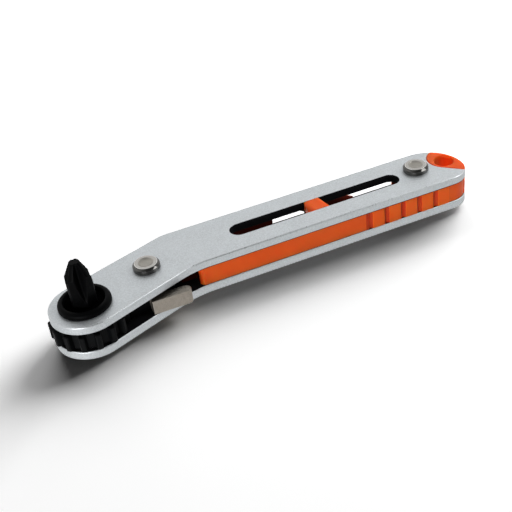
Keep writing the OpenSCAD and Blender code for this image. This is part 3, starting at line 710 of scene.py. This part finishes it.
# thumb wheel: one tooth rule repeated round a turned disc

wheelLook = dict(
    teeth=15, radius=10.2 * mm, phase=6.0, toothHeight=1.6 * mm, footShare=0.2446, tipShare=0.1463,
    hub=5.2 * mm, discLow=4.55 * mm, discHigh=9.15 * mm, flats=6.45 * mm,
    groove=4.42 * mm, grooveHigh=7.35 * mm, grooveLow=6.35 * mm, edge=0.18 * mm,
    hubFrom=1 * mm, sharp=35,
)
# columns to a tooth; then shares: web of the inner radius, valley of the pitch, flank of the way from tip
# to foot, crown of the tip, and both reaches of the tooth's height
toothRules = dict(
    columns=10, web=0.93, valley=0.38, flank=0.2, crown=0.72, footReach=0.04, flankReach=0.86)


def wheelTree():
    sizes = ["Wheel radius", "Tooth height", "Foot share", "Tip share", "Phase", "Hub radius", "Hub low",
             "Hub high", "Disc low", "Disc high", "Bore flats", "Groove radius", "Groove low", "Groove high",
             "Edge"]
    inputs = [("Teeth", "count"), ("Finish", "finish")] + [(label, "size") for label in sizes]
    tree, given = newTree("thumbWheelTree", inputs)
    perTooth = float(toothRules["columns"])
    edge = given["Edge"]
    inner = doMath(tree, "SUBTRACT", given["Wheel radius"], given["Tooth height"])
    web = doMath(tree, "MULTIPLY", inner, toothRules["web"])
    hubEased = doMath(tree, "SUBTRACT", given["Hub radius"], edge)
    # each ring: fixed radius, height, share of the rim, share of the hexagonal bore
    rings = [
        (0.0, given["Hub low"], 0, 1), (hubEased, given["Hub low"], 0, 0),
        (given["Hub radius"], doMath(tree, "ADD", given["Hub low"], edge), 0, 0),
        (given["Hub radius"], given["Disc low"], 0, 0), (web, given["Disc low"], 0, 0),
        (doMath(tree, "MULTIPLY", edge, -1.0), given["Disc low"], 1, 0),
        (0.0, doMath(tree, "ADD", given["Disc low"], edge), 1, 0),
        (0.0, doMath(tree, "SUBTRACT", given["Disc high"], edge), 1, 0),
        (doMath(tree, "MULTIPLY", edge, -1.0), given["Disc high"], 1, 0),
        (web, given["Disc high"], 0, 0), (given["Hub radius"], given["Disc high"], 0, 0),
        (given["Hub radius"], doMath(tree, "SUBTRACT", given["Hub high"], edge), 0, 0),
        (hubEased, given["Hub high"], 0, 0), (0.0, given["Hub high"], 0, 1),
        (0.0, given["Groove high"], 0, 1), (given["Groove radius"], given["Groove high"], 0, 0),
        (given["Groove radius"], given["Groove low"], 0, 0), (0.0, given["Groove low"], 0, 1),
        (0.0, given["Hub low"], 0, 1),
    ]
    columns = doMath(tree, "MULTIPLY", given["Teeth"], perTooth)
    mesh, ring, column = sheetOfRings(tree, len(rings), columns)
    tooth = doMath(tree, "FLOOR", doMath(tree, "DIVIDE", doMath(tree, "ADD", column, 0.5), perTooth))
    step = doMath(tree, "SUBTRACT", column, doMath(tree, "MULTIPLY", tooth, perTooth))
    foot, tip = given["Foot share"], given["Tip share"]
    flank = doMath(
        tree, "ADD", doMath(tree, "MULTIPLY", tip, 1.0 - toothRules["flank"]),
        doMath(tree, "MULTIPLY", foot, toothRules["flank"]))
    crown = doMath(tree, "MULTIPLY", tip, toothRules["crown"])
    left = [doMath(tree, "MULTIPLY", share, -1.0) for share in (foot, flank, crown)]
    shares = [-0.5, -toothRules["valley"]] + left + [0.0, crown, flank, foot, toothRules["valley"]]
    rise = [0.0, toothRules["footReach"], toothRules["flankReach"], 1.0]
    reaches = [0.0] + rise + [1.0] + rise[::-1]
    pitch = doMath(tree, "DIVIDE", math.tau, given["Teeth"])
    turn = doMath(tree, "MULTIPLY", doMath(tree, "ADD", tooth, pick(tree, step, shares)), pitch)
    angle = doMath(tree, "ADD", turn, doMath(tree, "RADIANS", given["Phase"]))
    reach = doMath(tree, "MULTIPLY", pick(tree, step, reaches), given["Tooth height"])
    rim = doMath(tree, "ADD", inner, reach)
    sixth = math.tau / 6
    sector = doMath(tree, "SUBTRACT", doMath(tree, "FLOORED_MODULO", angle, sixth), sixth / 2)
    sector = doMath(tree, "SUBTRACT", sixth / 2, doMath(tree, "ABSOLUTE", sector))
    halfFlats = doMath(tree, "MULTIPLY", given["Bore flats"], 0.5)
    bore = doMath(tree, "DIVIDE", halfFlats, doMath(tree, "COSINE", sector))
    radius = pick(tree, ring, [row[0] for row in rings])
    for outline, place in ((rim, 2), (bore, 3)):
        share = pick(tree, ring, [float(row[place]) for row in rings])
        radius = doMath(tree, "ADD", radius, doMath(tree, "MULTIPLY", outline, share))
    height = pick(tree, ring, [row[1] for row in rings])
    closeTree(tree, placeRings(tree, mesh, radius, angle, height), given["Finish"])
    return tree


def makeWheel(look):
    low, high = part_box("ratchet_wheel")
    values = {
        "Teeth": look["teeth"], "Finish": finishes["blackWheel"], "Wheel radius": look["radius"],
        "Tooth height": look["toothHeight"], "Foot share": look["footShare"], "Tip share": look["tipShare"],
        "Phase": look["phase"], "Hub radius": look["hub"], "Hub low": low.z, "Hub high": high.z,
        "Disc low": look["discLow"], "Disc high": look["discHigh"], "Bore flats": look["flats"],
        "Groove radius": look["groove"], "Groove low": look["grooveLow"], "Groove high": look["grooveHigh"],
        "Edge": look["edge"],
    }
    wheel = runTree("thumbWheel", wheelTree(), values, look["sharp"])
    repaint(wheel.data, "blackWheel", "paintedShadeBlack")
    hubLow = look["discLow"] - look["hubFrom"]
    hubHigh = look["discHigh"] + look["hubFrom"]
    # the hub ends beyond the disc get painted shade
    for face in wheel.data.polygons:
        face.material_index = int(not hubLow <= face.center.z <= hubHigh)
    seat(wheel, "wheel", "blackened_steel", "ratchet_wheel")


makeWheel(wheelLook)
print("thumb wheel made")


# wires: the detent spring and the clip that holds the bit

springLook = dict(
    turns=6.0, radius=1.0 * mm, wire=0.2 * mm, length=5.0 * mm, reach=31.05 * mm, height=6.4 * mm,
    headAngle=20.0, steps=28,
)
clipLook = dict(radius=3.97 * mm, wire=0.4 * mm, sweep=310.0, height=6.85 * mm, steps=72)
wireRules = dict(sides=14, sharp=60)


def wireTree(name, coiled, steps):
    labels = ["Radius", "Wire", "Turns", "Rise", "Lean", "Heading"]
    inputs = [(label, "size") for label in labels] + [("Place", "place"), ("Finish", "finish")]
    tree, given = newTree(name, inputs)
    if coiled:
        sizes = {"Resolution": steps, "Rotations": given["Turns"], "Start Radius": given["Radius"],
                 "End Radius": given["Radius"], "Height": given["Rise"]}
        path = addNode(tree, "GeometryNodeCurveSpiral", sizes).outputs[0]
    else:
        sweep = doMath(tree, "MULTIPLY", given["Turns"], math.tau)
        sizes = {"Resolution": steps, "Radius": given["Radius"], "Sweep Angle": sweep}
        path = addNode(tree, "GeometryNodeCurveArc", sizes, mode="RADIUS").outputs[0]
    ring = {"Resolution": wireRules["sides"], "Radius": given["Wire"]}
    section = addNode(tree, "GeometryNodeCurvePrimitiveCircle", ring)
    sweeping = {"Curve": path, "Profile Curve": section.outputs[0], "Fill Caps": True}
    wire = addNode(tree, "GeometryNodeCurveToMesh", sweeping)
    turn = addNode(tree, "ShaderNodeCombineXYZ", {1: given["Lean"], 2: given["Heading"]})
    placing = {"Geometry": wire.outputs[0], "Translation": given["Place"], "Rotation": turn.outputs[0]}
    placed = addNode(tree, "GeometryNodeTransform", placing)
    closeTree(tree, placed.outputs[0], given["Finish"])
    return tree


def makeSpring(look):
    heading = math.radians(look["headAngle"])
    axis = Vector((math.cos(heading), math.sin(heading), 0.0))
    start = axis * (look["reach"] + look["wire"]) + Vector((0.0, 0.0, look["height"]))
    values = {"Radius": look["radius"], "Wire": look["wire"], "Turns": look["turns"],
              "Rise": look["length"] - 2 * look["wire"], "Lean": math.radians(90), "Heading": heading,
              "Place": start, "Finish": finishes["drawnWire"]}
    tree = wireTree("springTree", True, look["steps"])
    spring = runTree("detentSpring", tree, values, wireRules["sharp"])
    seat(spring, "frame", "spring_steel", "detent_spring")
    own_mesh(spring)


def makeClip(look):
    values = {"Radius": look["radius"], "Wire": look["wire"], "Turns": look["sweep"] / 360,
              "Rise": 0.0, "Lean": 0.0, "Heading": 0.0, "Place": Vector((0.0, 0.0, look["height"])),
              "Finish": finishes["drawnWire"]}
    tree = wireTree("clipTree", False, look["steps"])
    clip = runTree("bitClip", tree, values, wireRules["sharp"])
    seat(clip, "wheel", "spring_steel", "bit_clip")


makeSpring(springLook)
makeClip(clipLook)
print("spring and clip made")


# inner pieces keep their CAD shapes and get their finish

innerFinishes = dict(
    core_sleeve="washerSteel", pawl_sleeve="washerSteel", pawl_washer="washerSteel",
    upper_bush="bearingBronze", lower_bush="bearingBronze",
    upper_washer="washerSteel", lower_washer="washerSteel", detent_plunger="drawnWire",
)
for node, finish in innerFinishes.items():
    repaint(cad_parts[node].data, finish)
print("inner pieces finished")


# studio: a pale floor, white surroundings, two keys from behind and three weaker lamps in front

studio = dict(
    floorSize=6.0, floorCells=8, floorColour=0.8, floorSeen=1.85, floorMirrored=0.85, ambient=0.02,
    duskFrom=(0.2, -0.8, 0.56), duskShare=0.85, duskSpan=(0.1, 0.8),
    backKey=dict(direction=(0.15, 0.8, 0.58), distance=1.2, width=0.8, height=0.8, power=4.2, glossy=False),
    rightKey=dict(
        direction=(0.79, 0.42, 0.45), distance=1.2, width=0.85, height=0.85, power=16.0, glossy=False),
    soft=dict(direction=(-0.3, -0.55, 0.78), distance=0.7, width=0.5, height=0.5, power=1.3, glossy=False),
    fill=dict(direction=(-0.7, -0.72, 0.08), distance=0.7, width=0.4, height=0.12, power=3.1, glossy=True),
    edge=dict(direction=(0.72, -0.33, 0.64), distance=0.6, width=0.3, height=0.3, power=1.6, glossy=True),
)


def seenShare(tree):
    # 1 for what the camera, a reflection or a see-through piece looks at
    rays = addNode(tree, "ShaderNodeLightPath").outputs
    seen = doMath(tree, "MAXIMUM", rays["Is Camera Ray"], rays["Is Glossy Ray"])
    return doMath(tree, "MAXIMUM", seen, rays["Is Transmission Ray"])


def makeFloor(look):
    shape = bmesh.new()
    cells = look["floorCells"]
    bmesh.ops.create_grid(shape, x_segments=cells, y_segments=cells, size=look["floorSize"] / 2)
    floor = linkMesh("floor", shape, [])
    material = bpy.data.materials.new("paleFloor")
    material.use_nodes = True
    tree = material.node_tree
    tree.nodes.clear()
    level = remap(tree, seenShare(tree), look["floorColour"], look["floorSeen"])
    tint = addNode(tree, "ShaderNodeCombineColor", {0: level, 1: level, 2: level})
    paint = addNode(tree, "ShaderNodeBsdfDiffuse", {"Color": tint.outputs[0]})
    # reflections see an even, pale floor
    even = addNode(tree, "ShaderNodeEmission", {"Strength": look["floorMirrored"]})
    mirrored = addNode(tree, "ShaderNodeLightPath").outputs["Is Glossy Ray"]
    mixed = addNode(tree, "ShaderNodeMixShader", {0: mirrored, 1: paint.outputs[0], 2: even.outputs[0]})
    addNode(tree, "ShaderNodeOutputMaterial", {"Surface": mixed.outputs[0]})
    floor.data.materials.append(material)
    return floor


def lampGroup(state, *pieces):
    # a lamp that is given this collection lights only these pieces, or leaves them out
    group = bpy.data.collections.new("lampGroup")
    for piece in pieces:
        group.objects.link(piece)
    for entry in group.collection_objects:
        entry.light_linking.link_state = state
    return group


def makeWorld(look):
    world = bpy.data.worlds.new("studioWorld")
    scene.world = world
    world.use_nodes = True
    tree = world.node_tree
    tree.nodes["Background"].inputs["Color"].default_value = (1.0, 1.0, 1.0, 1.0)
    # what is seen is white, and duller high up in front
    coords = addNode(tree, "ShaderNodeTexCoord")
    facing = addNode(tree, "ShaderNodeVectorMath", operation="DOT_PRODUCT")
    plug(tree, facing.inputs[0], coords.outputs["Generated"])
    plug(tree, facing.inputs[1], Vector(look["duskFrom"]).normalized())
    seen = remap(tree, facing.outputs["Value"], 1.0, 1.0 - look["duskShare"], *look["duskSpan"])
    difference = doMath(tree, "SUBTRACT", seen, look["ambient"])
    strength = doMath(tree, "ADD", doMath(tree, "MULTIPLY", seenShare(tree), difference), look["ambient"])
    tree.links.new(strength, tree.nodes["Background"].inputs["Strength"])


def makeLamp(name, look, centre, group=None):
    data = bpy.data.lights.new(name, "AREA")
    data.shape = "RECTANGLE"
    data.size = look["width"]
    data.size_y = look["height"]
    data.energy = look["power"]
    lamp = bpy.data.objects.new(name, data)
    away = Vector(look["direction"]).normalized()
    turn = away.to_track_quat("Z", "Y").to_matrix().to_4x4()
    lamp.matrix_world = Matrix.Translation(centre + away * look["distance"]) @ turn
    lamp.visible_camera = False
    lamp.visible_glossy = look["glossy"]
    if group:
        lamp.light_linking.receiver_collection = group
    scene.collection.objects.link(lamp)


floor = makeFloor(studio)
makeWorld(studio)
centre = (cadBox[0] + cadBox[1]) / 2
makeLamp("backKeyLamp", studio["backKey"], centre)
makeLamp("rightKeyLamp", studio["rightKey"], centre)
# the lamps in front leave the floor alone, so that the shadow stays deep
makeLamp("fillLamp", studio["fill"], centre, lampGroup("EXCLUDE", floor, rivets))
makeLamp("edgeLamp", studio["edge"], centre, lampGroup("INCLUDE", topPlate, bottomPlate, rivets))
makeLamp("softLamp", studio["soft"], centre, lampGroup("INCLUDE", core))
print("studio set")
